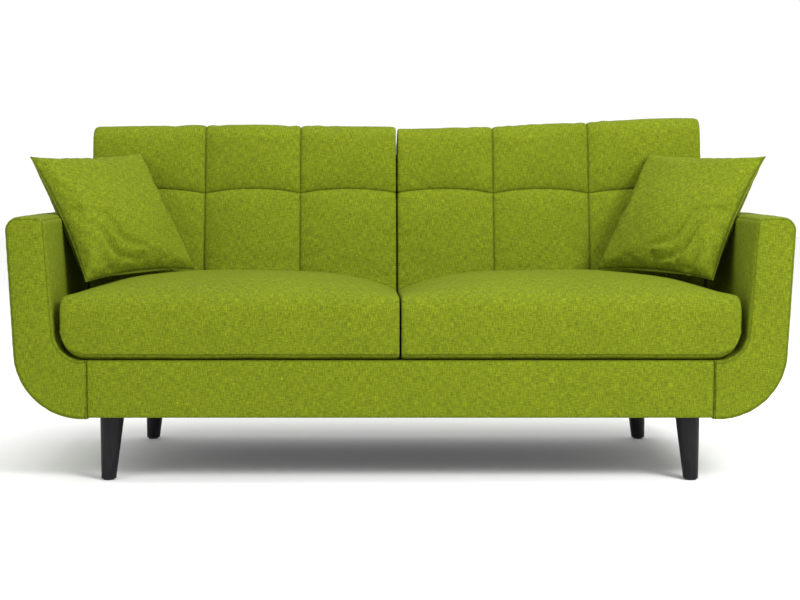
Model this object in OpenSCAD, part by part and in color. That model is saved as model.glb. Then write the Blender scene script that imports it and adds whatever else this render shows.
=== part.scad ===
// Three-seat sofa with J-shaped padded arms, four loose cushions, two throw
// pillows and four turned, tapered, splayed legs.
// Millimetres. X runs along the seat, -Y is the front, +Z is up, and the origin
// is on the floor under the middle of the sofa.

/* [Overall] */
// Width over the tops of the arms
sofa_w = 1900; // [1840:10:2100]
// Depth from the arm fronts to the top of the back
sofa_d = 840; // [820:10:900]
// Height of the underside of the seat frame above the floor
leg_h = 164; // [130:1:200]
// Height of the back frame above the underside
back_frame_h = 643; // [600:1:680]

/* [Arms] */
// Height of the arm above the underside
arm_h = 483; // [460:1:520]
// Thickness of the arm at its top
arm_t = 95; // [85:1:110]
// How far the outer face leans out between its bend and its top
arm_flare = 14; // [0:1:20]
// Radius of the outer bottom sweep of the J
arm_sweep_r = 165; // [140:1:170]
// Radius between the arm's inner face and the seat
arm_inner_r = 70; // [60:1:75]
// Height of the arm's horizontal limb above the underside
limb_h = 140; // [130:1:150]
// Length of the horizontal limb, from the inner face to the seam
limb_l = 80; // [75:1:90]
// Padding and cover over the arm's wooden frame
arm_pad = 10; // [8:1:12]

/* [Seat cushions] */
// Height of the cushion at its edges
seat_edge_h = 158; // [140:1:170]
// Extra height at the middle of the cushion
seat_crown = 33; // [10:1:40]
// Gap from the cushion's outer side to the arm
seat_side_gap = 11; // [6:1:20]

/* [Back cushions] */
// Angle of the back cushions from upright
recline = 13.3; // [10:0.1:16]
// Thickness of the back cushions
back_cushion_t = 150; // [120:1:160]
// Height of the back cushions' tops above the seat deck
back_cushion_h = 599; // [560:1:640]

/* [Throw pillows] */
// Half of a stuffed pillow's side, between its edges
pillow_half = 172; // [160:1:180]
// Half of a stuffed pillow's thickness
pillow_half_t = 62; // [50:1:70]
// Centre of the left pillow
left_pillow_at = [-741, -62, 647];
// Tilt, roll and turn of the left pillow
left_pillow_rot = [-33, -2, 49];
// Centre of the right pillow
right_pillow_at = [735, -64, 648];
// Tilt, roll and turn of the right pillow
right_pillow_rot = [-34, 1.5, -47];

/* [Legs] */
// Radius of a leg at its top
leg_top_r = 30; // [25:0.5:32]
// Radius of a leg at its foot
leg_foot_r = 18; // [15:0.5:20]
// Outward lean of the legs
leg_splay = 3.8; // [0:0.1:6]

/* [Springs] */
// Number of sinuous springs under the seat
spring_count = 10; // [6:2:12]
// Width of the spring wire
wire_w = 3.6; // [3:0.1:4.5]

/* [Hidden] */
half_w = sofa_w / 2;
front_y = -sofa_d / 2;
back_y = sofa_d / 2;
rear_foot_y = back_y - 75;
wood_t = 27;
ply_t = 18;
clear = 0.4;
far = 2000;

// Heights of the frame, from the floor.
arm_bottom_z = leg_h - 3;
arm_top_z = leg_h + arm_h;
deck_z = leg_h + limb_h;
back_top_z = leg_h + back_frame_h;
rail_bottom_z = leg_h + 1.5;
rail_top_z = deck_z - 16;
block_bottom_z = leg_h + 3.5;
block_top_z = rail_top_z - 26;
cushion_z = deck_z + clear;

// The arm's J section, for the right-hand side.
arm_in_top_x = half_w - arm_t;
arm_in_low_x = arm_in_top_x - 17;
seam_x = arm_in_low_x - limb_l;
arm_bend_x = half_w - arm_flare;
arm_out_r = 28;
arm_in_r = 16;

// The rails and the corner blocks.
rail_half = seam_x - 0.5;
front_rail_y = front_y + 12;
rear_rail_y = rear_foot_y - 31.5;
front_block = [95, 89];
rear_block = [125, 90];
front_leg = [seam_x - 49, front_y + 80];
rear_leg = [seam_x - 78, back_y - 140];
arm_bolt_z = leg_h + 71;

// The back frame. Its front and rear faces lean at their own angles.
lean = tan(recline);
cushion_face_y = back_y - 340;
cushion_face_z = leg_h + 313;
cushion_gap = 4.5;
back_pad = 10.5;
back_side_pad = 8;
back_skin = 4;
rear_slope = (back_y - rear_foot_y) / back_frame_h;
post_top_z = back_top_z - 32;

// The arm's front panel, and the layer of padding and cover outside the frame.
panel_y0 = front_y + arm_pad + 0.5;
panel_y1 = panel_y0 + ply_t;
frame_layer = arm_pad + 0.5;

// The sinuous springs, in a row between the front and rear rails.
spring_amp = 22;
spring_waves = 12;
spring_tail = 18;
spring_z = rail_top_z + 0.2;
spring_y0 = front_rail_y + 9;
spring_y1 = rear_rail_y + wood_t - 9;
spring_side_gap = 82;
spring_pitch = 2 * (rail_half - spring_side_gap) / (spring_count - 1);

// The deck between the front rail's cover and the back, and the legs' glides.
deck_y0 = front_y + 75.5;
deck_y1 = frame_front_y(deck_z) + 4;
glide_h = 4;

seat_half = arm_in_low_x - seat_side_gap;
back_half = arm_in_low_x - 4;
centre_gap = 3;
cover_t = 3;

lime = [0.53, 0.60, 0.13];
timber = [0.80, 0.66, 0.44];
plywood = [0.86, 0.74, 0.54];
black = [0.09, 0.09, 0.09];
steel = [0.62, 0.63, 0.65];
felt = [0.82, 0.81, 0.78];
foam = [0.93, 0.90, 0.76];

// ---------------------------------------------------------------- geometry helpers

// Points of an arc about c, from angle a to angle b.
function arc(c, r, a, b, n = 8) =
    [for (i = [0:n]) c + r * [cos(a + (b - a) * i / n), sin(a + (b - a) * i / n)]];

// Points of a shallow crown from p to q that rises by h at its middle.
function crown(p, q, h, n = 14) =
    [for (i = [1:n - 1]) let (t = i / n) p + (q - p) * t + [0, h * (1 - pow(2 * t - 1, 2))]];

// Depth of the sofa's rear plane, the back frame's front face and the back
// cushions' front face, at height z.
function rear_y(z) = rear_foot_y + (z - leg_h) * rear_slope;
function cushion_front_y(z) = cushion_face_y + (z - cushion_face_z) * lean;
function frame_front_y(z) = cushion_front_y(z) + back_cushion_t / cos(recline) + cushion_gap;

// Draws its children as they are on the right (side 1), mirrored on the left (-1).
module on_side(side) {
    if (side > 0) children();
    else mirror([1, 0, 0]) children();
}

module both_sides() {
    for (side = [-1, 1]) on_side(side) children();
}

// A YZ outline swept along X, and an XZ outline swept along Y.
module along_x(x0, x1) {
    translate([x0, 0, 0]) rotate([90, 0, 90]) linear_extrude(height = x1 - x0) children();
}

module along_y(y0, y1) {
    translate([0, y1, 0]) rotate([90, 0, 0]) linear_extrude(height = y1 - y0) children();
}

module box(lo, hi) {
    translate(lo) cube(hi - lo);
}

// ---------------------------------------------------------------- arms

// Section of an arm: upright limb, sweep at the bottom, and short seat limb.
module arm_section() {
    sweep = [arm_bend_x - arm_sweep_r, arm_bottom_z + arm_sweep_r];
    corner = [arm_in_low_x - arm_inner_r, deck_z + arm_inner_r];
    polygon(concat(
        arc([half_w - arm_out_r, arm_top_z - arm_out_r], arm_out_r, 0, 90),
        arc([arm_in_top_x + arm_in_r, arm_top_z - arm_in_r], arm_in_r, 90, 180, 6),
        arc(corner, arm_inner_r, 0, -90, 12),
        [[seam_x, deck_z], [seam_x, arm_bottom_z]],
        arc(sweep, arm_sweep_r, -90, 0, 20)
    ));
}

// The arm's section with a layer taken off, except at the seam to the seat frame,
// where it reaches past the seam by the given distance.
module arm_core_section(layer, past_seam = 0) {
    offset(delta = -layer) arm_section();
    translate([seam_x - past_seam, arm_bottom_z + layer])
        square([layer * 2 + past_seam, deck_z - arm_bottom_z - 2 * layer]);
}

// Everything in front of the rear plane, moved forward by the layer.
module ahead_of_rear(layer) {
    along_x(0, far)
        polygon([[-far, 0], [rear_y(0) - layer, 0], [rear_y(1000) - layer, 1000], [-far, 1000]]);
}

module arm_cover(side) {
    color(lime) on_side(side) difference() {
        intersection() {
            along_y(front_y, back_y) arm_section();
            ahead_of_rear(0);
        }
        intersection() {
            along_y(front_y + arm_pad, back_y) arm_core_section(arm_pad, 5);
            ahead_of_rear(arm_pad);
        }
    }
}

module arm_front_panel(side) {
    color(plywood) on_side(side)
        along_y(panel_y0, panel_y1) arm_core_section(frame_layer);
}

module arm_rear_panel(side) {
    color(plywood) on_side(side) difference() {
        intersection() {
            along_y(0, back_y) arm_core_section(frame_layer);
            ahead_of_rear(frame_layer);
        }
        ahead_of_rear(frame_layer + ply_t);
    }
}

function rear_panel_y(z) = rear_y(z) - frame_layer - ply_t - 0.3;

module arm_top_rail(side) {
    z0 = arm_top_z - arm_pad - 25;
    color(timber) on_side(side)
        box([arm_in_top_x + 17, panel_y1, z0], [half_w - 19, rear_panel_y(z0), z0 + 22]);
}

module arm_side_rail(side) {
    z0 = arm_bottom_z + arm_pad + 1;
    color(timber) on_side(side) difference() {
        box([seam_x, panel_y1, z0], [seam_x + wood_t, rear_panel_y(z0), rail_top_z]);
        arm_bolt_bores();
    }
}

module arm_outer_rail(side) {
    z0 = arm_bottom_z + arm_sweep_r;
    color(timber) on_side(side)
        box([arm_bend_x - 43, panel_y1, z0], [arm_bend_x - 16, rear_panel_y(z0), z0 + 60]);
}

// A thin board bent round the outer face and the sweep, under the padding.
module arm_curved_board(side) {
    color(plywood) on_side(side) intersection() {
        along_y(panel_y1 + 0.2, back_y) intersection() {
            difference() {
                arm_core_section(frame_layer);
                arm_core_section(frame_layer + 3);
            }
            translate([seam_x + wood_t + 1, 0]) square([far, arm_top_z - 60]);
            union() {
                square([far, deck_z - 60]);
                translate([half_w - 60, 0]) square([far, far]);
            }
        }
        ahead_of_rear(frame_layer + ply_t + 0.3);
    }
}

// ---------------------------------------------------------------- seat frame

module front_rail_cover() {
    y0 = front_y + 3;
    lip_y = front_y + 35;
    top_y = front_y + 75;
    r = 7;
    color(lime) along_x(-rail_half, rail_half) polygon(concat(
        arc([y0 + r, leg_h + r], r, 270, 180, 5),
        arc([y0 + r, deck_z - r], r, 180, 90, 5),
        [[top_y, deck_z], [top_y, deck_z - 10],
         [front_rail_y - 0.5, deck_z - 10], [front_rail_y - 0.5, leg_h + 1.3],
         [lip_y, leg_h + 1.3], [lip_y, leg_h]]
    ));
}

module front_seat_rail() {
    color(timber) box([-rail_half, front_rail_y, rail_bottom_z],
                      [rail_half, front_rail_y + wood_t, rail_top_z]);
}

module rear_seat_rail() {
    color(timber) box([-rail_half, rear_rail_y, rail_bottom_z],
                      [rail_half, rear_rail_y + wood_t, rail_top_z]);
}

module centre_seat_rail() {
    color(timber) box([-wood_t / 2, front_rail_y + wood_t, rail_bottom_z],
                      [wood_t / 2, rear_rail_y, block_top_z]);
}

// Puts its children at the top of a leg, with +Z up along the leg.
module at_leg_top(at, side) {
    on_side(side) translate([at[0], at[1], rail_bottom_z]) rotate([0, -leg_splay, 0]) children();
}

module at_each_leg() {
    for (side = [-1, 1], at = [front_leg, rear_leg]) at_leg_top(at, side) children();
}

module corner_blocks() {
    color(timber) difference() {
        both_sides() {
            box([rail_half - front_block[0], front_rail_y + wood_t, block_bottom_z],
                [rail_half, front_rail_y + wood_t + front_block[1], block_top_z]);
            box([rail_half - rear_block[0], rear_rail_y - rear_block[1], block_bottom_z],
                [rail_half, rear_rail_y, block_top_z]);
        }
        at_each_leg() translate([0, 0, -5]) cylinder(h = 55, r = 4.1, $fn = 32);
        both_sides() arm_bolt_bores();
    }
}

// The bolts that hold an arm to the corner blocks, front and rear.
module at_arm_bolts() {
    for (y = [front_leg[1] + 4, rear_leg[1] - 12])
        translate([0, y, arm_bolt_z]) rotate([0, 90, 0]) children();
}

module arm_bolt_bores() {
    at_arm_bolts() translate([0, 0, seam_x - 66]) cylinder(h = 110, r = 4.1, $fn = 32);
}

module arm_bolts() {
    color(steel) both_sides() at_arm_bolts() {
        translate([0, 0, seam_x - 62]) cylinder(h = 62 + wood_t + 1, r = 4, $fn = 32);
        translate([0, 0, seam_x + wood_t + 0.2]) cylinder(h = 5, r = 8, $fn = 6);
    }
}

// Outline of one sinuous spring, from its tail on the front rail to the rear one.
function spring_x(t) = spring_amp * sin(360 * spring_waves * t);
function spring_slope(t, span) = spring_amp * 2 * PI * spring_waves * cos(360 * spring_waves * t) / span;
function spring_side(s, span) = concat(
    [[s, 0], [s, spring_tail - 3]],
    [for (i = [0:8 * spring_waves]) let (t = i / (8 * spring_waves), k = spring_slope(t, span),
        n = sqrt(1 + k * k)) [spring_x(t) + s / n, spring_tail + span * t - s * k / n]],
    [[s, spring_tail + span + 3], [s, 2 * spring_tail + span]]
);
function reversed(list) = [for (i = [len(list) - 1:-1:0]) list[i]];

function spring_at(i) = spring_side_gap - rail_half + i * spring_pitch;

module seat_springs() {
    span = spring_y1 - spring_y0 - 2 * spring_tail;
    color(steel) for (i = [0:spring_count - 1]) translate([spring_at(i), spring_y0, spring_z])
        linear_extrude(height = wire_w)
            polygon(concat(spring_side(wire_w / 2, span), reversed(spring_side(-wire_w / 2, span))));
}

// Inverted channels that hold each spring's two tails down on the rails.
module spring_clips() {
    w = wire_w / 2 + clear;
    z = spring_z + wire_w + clear - rail_top_z;
    color(steel) for (i = [0:spring_count - 1], y = [spring_y0 + 1, spring_y1 - 13])
        translate([spring_at(i), 0, rail_top_z]) along_y(y, y + 12)
            polygon([[-w - 2, 0], [-w - 2, z + 1.2], [w + 2, z + 1.2], [w + 2, 0],
                     [w, 0], [w, z], [-w, z], [-w, 0]]);
}

module tie_wires() {
    color(steel) for (k = [1:3])
        translate([-rail_half, front_rail_y + k * 150, spring_z + wire_w + 1.1])
            rotate([0, 90, 0]) cylinder(h = 2 * rail_half, r = 0.9, $fn = 16);
}

module deck_felt() {
    color(felt) box([-rail_half, deck_y0, deck_z - 9.8], [rail_half, deck_y1, deck_z - 2.2]);
}

module deck_cover() {
    color(lime) box([-rail_half, deck_y0, deck_z - 2], [rail_half, deck_y1, deck_z]);
}

module dust_cover() {
    color(black) difference() {
        box([-rail_half, front_y + 35.5, leg_h], [rail_half, rear_foot_y - 6, leg_h + 1.3]);
        at_each_leg() translate([0, 0, -20]) cylinder(h = 40, r = leg_top_r + 1.5, $fn = 64);
    }
}

// ---------------------------------------------------------------- back frame

// Side profile of the back frame between heights z0 and z1, inside its covers.
module post_profile(z0, z1) {
    front = back_pad + 1;
    rear = back_skin + 0.5;
    polygon([[frame_front_y(z0) + front, z0], [frame_front_y(z1) + front, z1],
             [rear_y(z1) - rear, z1], [rear_y(z0) - rear, z0]]);
}

module back_posts() {
    color(timber) for (x = [wood_t - rail_half, wood_t / 2, rail_half])
        along_x(x - wood_t, x) post_profile(rail_top_z, post_top_z);
}

module back_end_panels() {
    x = arm_in_low_x - 22;
    color(plywood) both_sides()
        along_x(x, x + 12) post_profile(deck_z + 81, post_top_z);
}

module back_top_rail() {
    color(timber) box([10 - arm_in_low_x, frame_front_y(back_top_z) + 8, post_top_z],
                      [arm_in_low_x - 10, rear_y(post_top_z) - 5, back_top_z - 11]);
}

module back_lower_rails() {
    z0 = deck_z + 6;
    y0 = frame_front_y(z0 + 60) + back_pad + 4;
    color(timber) both_sides()
        box([wood_t / 2, y0, z0], [rail_half - wood_t, y0 + wood_t, z0 + 60]);
}

// Puts its children on the leaning front face of the back frame, at height z.
module on_back_face(z) {
    translate([0, frame_front_y(z), z]) rotate([-recline, 0, 0]) children();
}

module back_webbing() {
    strap_w = 50;
    strap_t = 0.7;
    y0 = (back_pad + 1) * cos(recline) - 0.1 - strap_t;
    color(felt) {
        for (k = [0:5]) on_back_face(deck_z + 20 + k * 76)
            box([-rail_half, y0, 0], [rail_half, y0 + strap_t, strap_w]);
        both_sides() for (k = [0:5]) on_back_face(deck_z + 10)
            translate([60 + k * 108, y0 + strap_t + 0.3, 0]) cube([strap_w, strap_t, 455]);
    }
}

// Outline of the back between the arms, seen from the front, with a layer off.
module back_outline(layer, z0 = deck_z + 0.5) {
    r = arm_inner_r - 1.5;
    side_x = arm_in_low_x - 1.5;
    top_x = side_x + 11.5;
    top_r = 22;
    offset(delta = -layer) for (side = [0, 1]) mirror([side, 0])
        polygon(concat(
            [[-1, z0], [arm_in_low_x - arm_inner_r - 11, z0]],
            arc([arm_in_low_x - arm_inner_r, deck_z + arm_inner_r], r, -90, 0, 12),
            arc([top_x - top_r, back_top_z - top_r], top_r, 0, 90, 6),
            [[-1, back_top_z]]
        ));
}

module inside_back_cover() {
    z0 = deck_z + 0.5;
    r = 18;
    rear = back_skin + 0.2;
    color(lime) difference() {
        intersection() {
            along_x(-half_w, half_w) polygon(concat(
                [[rear_y(z0) - rear, z0], [frame_front_y(z0), z0]],
                arc([frame_front_y(back_top_z - r) + r, back_top_z - r], r, 180, 90, 6),
                [[rear_y(back_top_z) - rear, back_top_z]]
            ));
            along_y(0, back_y + 20) back_outline(0);
        }
        intersection() {
            along_x(-half_w, half_w) polygon([
                [frame_front_y(0) + back_pad, 0],
                [frame_front_y(back_top_z - 10) + back_pad, back_top_z - 10],
                [far, back_top_z - 10], [far, 0]]);
            along_y(0, back_y + 40) {
                back_outline(back_side_pad);
                square([2 * rail_half + 5, 2 * deck_z + 60], center = true);
            }
        }
    }
}

module outside_back_cover() {
    z1 = back_top_z;
    color(lime) intersection() {
        along_x(-half_w, half_w) polygon([
            [rear_y(leg_h) - back_skin, leg_h], [rear_y(z1) - back_skin, z1],
            [rear_y(z1), z1], [rear_y(leg_h), leg_h]]);
        along_y(0, back_y + 20) {
            back_outline(0);
            translate([-rail_half, leg_h]) square([2 * rail_half, limb_h + 20]);
        }
    }
}

// ---------------------------------------------------------------- legs

// A tapered leg, cut flat at the frame and at its glide.
module leg(at, side) {
    length = rail_bottom_z / cos(leg_splay);
    color(black) difference() {
        intersection() {
            at_leg_top(at, side) translate([0, 0, -length - 4])
                cylinder(h = length + 8, r1 = leg_foot_r - 0.3, r2 = leg_top_r + 0.3, $fn = 64);
            box([-far, -far, glide_h], [far, far, rail_bottom_z]);
        }
        at_leg_top(at, side) translate([0, 0, -45]) cylinder(h = 60, r = 4.1, $fn = 32);
        translate(concat(foot_at(at, side), 0)) cylinder(h = glide_h + 14, r = 2.5, $fn = 24);
    }
}

// Where a leg's axis meets the floor.
function foot_at(at, side) = [side * (at[0] + rail_bottom_z * tan(leg_splay)), at[1]];

module leg_glides() {
    color(black) for (side = [-1, 1], at = [front_leg, rear_leg])
        translate(concat(foot_at(at, side), 0)) {
            cylinder(h = glide_h, r = 13, $fn = 48);
            cylinder(h = glide_h + 12, r = 2.4, $fn = 24);
        }
}

module leg_plates() {
    half = 28;
    color(steel) difference() {
        for (side = [-1, 1], at = [front_leg, rear_leg]) on_side(side)
            box([at[0] - half, at[1] - half, rail_bottom_z],
                [at[0] + half, at[1] + half, block_bottom_z]);
        at_each_leg() translate([0, 0, -5]) cylinder(h = 15, r = 4.3, $fn = 32);
    }
}

module hanger_bolts() {
    color(steel) at_each_leg() translate([0, 0, -40]) cylinder(h = 85, r = 4, $fn = 32);
}

// ---------------------------------------------------------------- seat cushions

// Front outline of a right seat cushion; its lower outer corner follows the arm.
module seat_cushion_front() {
    x0 = centre_gap;
    x1 = seat_half;
    z0 = cushion_z;
    z1 = cushion_z + seat_edge_h;
    low_r = 62;
    r = 20;
    polygon(concat(
        arc([x0 + 12, z0 + 12], 12, 180, 270, 5),
        arc([x1 - low_r, z0 + low_r], low_r, -90, 0, 10),
        arc([x1 - r, z1 - r], r, 0, 90, 6),
        crown([x1 - r, z1], [x0 + r, z1], seat_crown),
        arc([x0 + r, z1 - r], r, 90, 180, 6)
    ));
}

// Side outline: a rounded front edge, a crown and a rear face parallel to the back.
module seat_cushion_side() {
    y0 = front_y + 2;
    z0 = cushion_z;
    z1 = cushion_z + seat_edge_h;
    r = 42;
    rear_r = 18;
    rear_gap = 5;
    y1 = cushion_front_y(z1 - rear_r) - rear_gap;
    polygon(concat(
        arc([y0 + 14, z0 + 14], 14, 270, 180, 5),
        arc([y0 + r, z1 - r], r, 180, 90, 10),
        crown([y0 + r, z1], [y1 - rear_r, z1 + 8], seat_crown - 6),
        arc([y1 - rear_r, z1 + 8 - rear_r], rear_r, 90, -recline, 6),
        [[cushion_front_y(z0) - rear_gap, z0]]
    ));
}

module seat_cushion_body(layer) {
    intersection() {
        along_y(front_y, back_y) offset(delta = -layer) seat_cushion_front();
        along_x(0, half_w) offset(delta = -layer) seat_cushion_side();
    }
}

module seat_cushion_cover(side) {
    color(lime) on_side(side) difference() {
        seat_cushion_body(0);
        seat_cushion_body(cover_t);
    }
}

module seat_cushion_core(side) {
    color(foam) on_side(side) seat_cushion_body(cover_t + 0.3);
}

// A closed zip: two tapes, the coil over them and the slider.
module zip_strip(length) {
    box([-length / 2, 0.1, -12], [length / 2, 1.1, 12]);
    box([-length / 2, 1.1, -2.5], [length / 2, 2, 2.5]);
    translate([length / 2 - 20, 1.1, -5]) cube([14, 2.3, 10]);
}

module seat_cushion_zip(side) {
    z = cushion_z + 75;
    color(lime) on_side(side)
        translate([(centre_gap + seat_half) / 2, cushion_front_y(z) - 5, z])
            rotate([-recline, 0, 0]) zip_strip(560);
}

// ---------------------------------------------------------------- back cushions

module back_cushion_front() {
    x0 = centre_gap;
    x1 = back_half;
    z0 = cushion_z;
    z1 = deck_z + back_cushion_h - 12;
    low_r = 68;
    r = 34;
    polygon(concat(
        arc([x0 + 12, z0 + 12], 12, 180, 270, 5),
        arc([x1 - low_r, z0 + low_r], low_r, -90, 0, 10),
        arc([x1 - r, z1 - r], r, 0, 90, 8),
        crown([x1 - r, z1], [x0 + r, z1], 12),
        arc([x0 + r, z1 - r], r, 90, 180, 8)
    ));
}

// Side outline, drawn upright with its front face on x = 0; it leans as it is placed.
module back_cushion_side() {
    t = back_cushion_t;
    top_t = t - 10;
    h = (back_cushion_h + 12) / cos(recline);
    r = 52;
    polygon(concat(
        [[0, -60], [0, h - r]],
        arc([r, h - r], r, 180, 90, 8),
        arc([top_t - r, h - r], r, 90, 0, 8),
        [[t, h - 260], [t, -60]]
    ));
}

module back_cushion_body(layer) {
    intersection() {
        along_y(0, back_y) offset(delta = -layer) back_cushion_front();
        translate([0, cushion_front_y(cushion_z), cushion_z]) rotate([-recline, 0, 0])
            along_x(0, half_w) offset(delta = -layer) back_cushion_side();
    }
}

module back_cushion_cover(side) {
    color(lime) on_side(side) difference() {
        back_cushion_body(0);
        back_cushion_body(cover_t);
    }
}

module back_cushion_core(side) {
    color(foam) on_side(side) back_cushion_body(cover_t + 0.3);
}

module back_cushion_zip(side) {
    z = cushion_z + 70;
    y = cushion_front_y(z) + back_cushion_t / cos(recline);
    color(lime) on_side(side) translate([(centre_gap + back_half) / 2, y, z])
        rotate([-recline, 0, 0]) zip_strip(600);
}

// ---------------------------------------------------------------- throw pillows

// A lens that is pillow_half to each side and t to the front and rear, along Z.
module lens(t, layer) {
    r = (pillow_half * pillow_half + t * t) / (2 * t);
    intersection_for (s = [-1, 1])
        translate([0, s * (r - t), 0])
            cylinder(h = 3 * pillow_half, r = r - layer, center = true, $fn = 180);
}

// A knife-edged pillow, standing on edge and facing -Y: two lenses crossed. The
// second is a little thinner, so that their faces don't meet at one point.
module pillow_body(layer) {
    intersection() {
        lens(pillow_half_t, layer);
        rotate([0, 90, 0]) lens(pillow_half_t - 2, layer);
    }
}

module at_pillow(side) {
    translate(side > 0 ? right_pillow_at : left_pillow_at)
        rotate(side > 0 ? right_pillow_rot : left_pillow_rot) children();
}

module pillow_cover(side) {
    color(lime) at_pillow(side) difference() {
        pillow_body(0);
        pillow_body(2);
    }
}

module pillow_insert(side) {
    color(foam) at_pillow(side) pillow_body(2.3);
}

// The pillow's zip, closed, along its lower edge.
module pillow_zip(side) {
    color(lime) at_pillow(side) {
        box([-130, -1.5, -pillow_half - 5], [130, 1.5, -pillow_half - 0.2]);
        box([104, -3, -pillow_half - 8], [116, 3, -pillow_half - 5]);
    }
}

// ---------------------------------------------------------------- nodes

arm_cover(-1);  // left_arm_cover
arm_cover(1);  // right_arm_cover
arm_front_panel(-1);  // left_arm_front_panel
arm_front_panel(1);  // right_arm_front_panel
arm_rear_panel(-1);  // left_arm_rear_panel
arm_rear_panel(1);  // right_arm_rear_panel
arm_top_rail(-1);  // left_arm_top_rail
arm_top_rail(1);  // right_arm_top_rail
arm_side_rail(-1);  // left_arm_side_rail
arm_side_rail(1);  // right_arm_side_rail
arm_outer_rail(-1);  // left_arm_outer_rail
arm_outer_rail(1);  // right_arm_outer_rail
arm_curved_board(-1);  // left_arm_curved_board
arm_curved_board(1);  // right_arm_curved_board
front_rail_cover();
front_seat_rail();
rear_seat_rail();
centre_seat_rail();
corner_blocks();
arm_bolts();
seat_springs();
spring_clips();
tie_wires();
deck_felt();
deck_cover();
dust_cover();
back_posts();
back_end_panels();
back_top_rail();
back_lower_rails();
back_webbing();
inside_back_cover();
outside_back_cover();
leg(front_leg, -1);  // front_left_leg
leg(front_leg, 1);  // front_right_leg
leg(rear_leg, -1);  // rear_left_leg
leg(rear_leg, 1);  // rear_right_leg
leg_glides();
leg_plates();
hanger_bolts();
seat_cushion_cover(-1);  // left_seat_cushion_cover
seat_cushion_core(-1);  // left_seat_cushion_core
seat_cushion_zip(-1);  // left_seat_cushion_zip
seat_cushion_cover(1);  // right_seat_cushion_cover
seat_cushion_core(1);  // right_seat_cushion_core
seat_cushion_zip(1);  // right_seat_cushion_zip
back_cushion_cover(-1);  // left_back_cushion_cover
back_cushion_core(-1);  // left_back_cushion_core
back_cushion_zip(-1);  // left_back_cushion_zip
back_cushion_cover(1);  // right_back_cushion_cover
back_cushion_core(1);  // right_back_cushion_core
back_cushion_zip(1);  // right_back_cushion_zip
pillow_cover(-1);  // left_pillow_cover
pillow_insert(-1);  // left_pillow_insert
pillow_zip(-1);  // left_pillow_zip
pillow_cover(1);  // right_pillow_cover
pillow_insert(1);  // right_pillow_insert
pillow_zip(1);  // right_pillow_zip
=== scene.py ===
"""Three-seat sofa: the upholstery, cushions, finishes, light and camera.

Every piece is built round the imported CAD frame, in metres: +X along the seat, -Y the front, +Z up.
"""
import math

import bmesh
import bpy
import numpy as np
from mathutils import Euler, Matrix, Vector, noise
from mathutils.bvhtree import BVHTree


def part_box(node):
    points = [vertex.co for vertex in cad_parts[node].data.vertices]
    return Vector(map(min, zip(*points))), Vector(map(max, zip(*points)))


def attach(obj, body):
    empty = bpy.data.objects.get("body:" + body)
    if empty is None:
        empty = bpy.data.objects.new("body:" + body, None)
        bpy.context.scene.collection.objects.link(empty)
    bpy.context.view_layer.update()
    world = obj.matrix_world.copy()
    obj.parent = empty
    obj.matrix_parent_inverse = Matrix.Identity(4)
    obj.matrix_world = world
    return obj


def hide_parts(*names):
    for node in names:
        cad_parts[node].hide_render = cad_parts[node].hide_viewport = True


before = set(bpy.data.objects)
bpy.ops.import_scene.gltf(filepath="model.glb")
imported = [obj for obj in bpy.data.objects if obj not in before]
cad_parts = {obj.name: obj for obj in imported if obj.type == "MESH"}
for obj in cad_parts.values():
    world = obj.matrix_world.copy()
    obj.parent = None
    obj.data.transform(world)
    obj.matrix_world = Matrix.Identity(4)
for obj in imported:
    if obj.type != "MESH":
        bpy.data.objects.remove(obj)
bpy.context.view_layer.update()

# ------------------------------------------------------------------ places, from the frame


def corners(node):
    lo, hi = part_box(node)
    return np.array(lo), np.array(hi)


ARM_LO, ARM_HI = corners("right_arm_cover")
RAIL_LO, RAIL_HI = corners("front_rail_cover")
SEAT_LO, SEAT_HI = corners("right_seat_cushion_cover")
BACK_LO, BACK_HI = corners("right_back_cushion_cover")
FRAME_LO, FRAME_HI = corners("inside_back_cover")
OUTER_LO, OUTER_HI = corners("outside_back_cover")
DECK_LO, DECK_HI = corners("deck_cover")

DECK_Z = DECK_HI[2]
BACK_TILT = math.radians(13.3)
LEAN = math.tan(BACK_TILT)
REAR_SLOPE = (OUTER_HI[1] - OUTER_LO[1] - 0.004) / (OUTER_HI[2] - OUTER_LO[2])

ARM_THICK = 0.095
ARM_FLARE = 0.014
ARM_LEAN_IN = 0.017
SWEEP_R = 0.165
INNER_R = 0.070

SIDE_WORD = {-1: "left", 1: "right"}


def rear_plane(z):
    """Depth of the sofa's leaning rear at height z."""
    return OUTER_HI[1] - (OUTER_HI[2] - z) * REAR_SLOPE


def cushion_plane(z):
    """Depth of the back cushions' leaning front face at height z."""
    return BACK_LO[1] + (z - BACK_LO[2]) * LEAN


# ------------------------------------------------------------------ curve and grid helpers


def arc(centre, radius, start, end, count):
    """Points along an arc, from one angle in degrees to another."""
    angle = np.radians(np.linspace(start, end, count))
    return np.c_[centre[0] + radius * np.cos(angle), centre[1] + radius * np.sin(angle)]


def unit(vectors):
    return vectors / np.maximum(np.linalg.norm(vectors, axis=-1, keepdims=True), 1e-9)


def run_of(points):
    """Distance run along a polyline, at each of its points."""
    return np.r_[0, np.cumsum(np.linalg.norm(np.diff(points, axis=0), axis=1))]


def mean_run(grid):
    """Distance run along a grid's first axis, averaged over its second."""
    return np.r_[0, np.cumsum(np.linalg.norm(np.diff(grid, axis=0), axis=2).mean(axis=1))]


def evenly(points, count):
    """count points evenly spaced along a polyline."""
    pts = np.asarray(points, float)
    run = run_of(pts)
    at = np.linspace(0, run[-1], count)
    return np.c_[tuple(np.interp(at, run, pts[:, k]) for k in range(pts.shape[1]))]


def divided(sides, counts):
    """A closed loop from its sides, each cut into a number of even steps."""
    return np.vstack([evenly(side, count + 1)[:-1] for side, count in zip(sides, counts)])


def smooth(t):
    t = np.clip(t, 0, 1)
    return t * t * (3 - 2 * t)


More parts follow.
